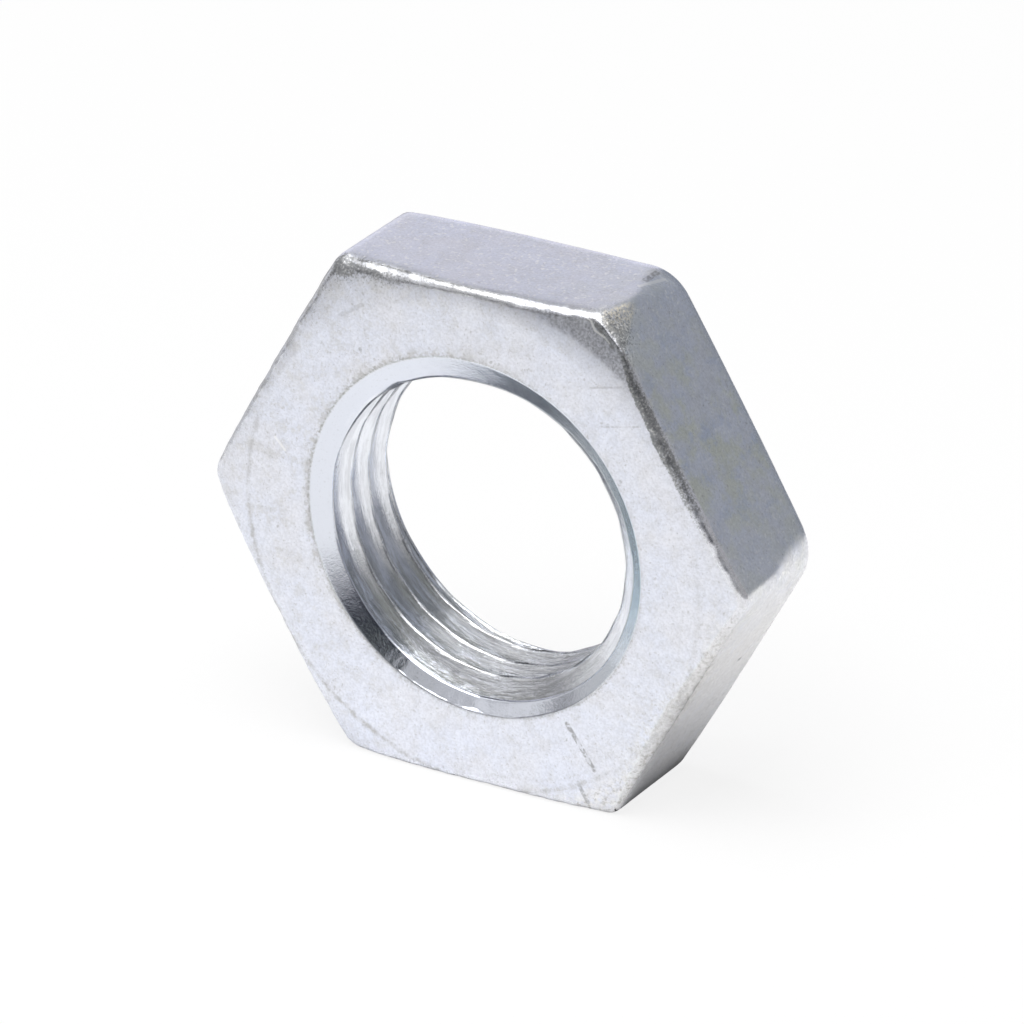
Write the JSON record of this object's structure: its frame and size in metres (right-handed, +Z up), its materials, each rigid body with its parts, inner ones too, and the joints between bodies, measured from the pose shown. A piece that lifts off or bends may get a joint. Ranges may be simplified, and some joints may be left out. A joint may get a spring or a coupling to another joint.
{
  "type": "pipe nut",
  "caption": "Thin hexagon nut in zinc-plated steel with a parallel pipe thread, used to lock or clamp a threaded pipe end or fitting.",
  "frame": {"origin": "centre of the threaded bore, at the middle of the thickness", "axes": "+Y along the bore from the front face to the back face, +Z up towards the upper flat, +X through the right-hand corner"},
  "size_m": [0.0342, 0.008, 0.03],
  "materials": {
    "zinc_plated_steel": "bright zinc plating with a faint bluish cast, satin, lightly scratched and stained"
  },
  "bodies": {
    "root": {"pipe_nut": "zinc_plated_steel"}
  },
  "joints": []
}
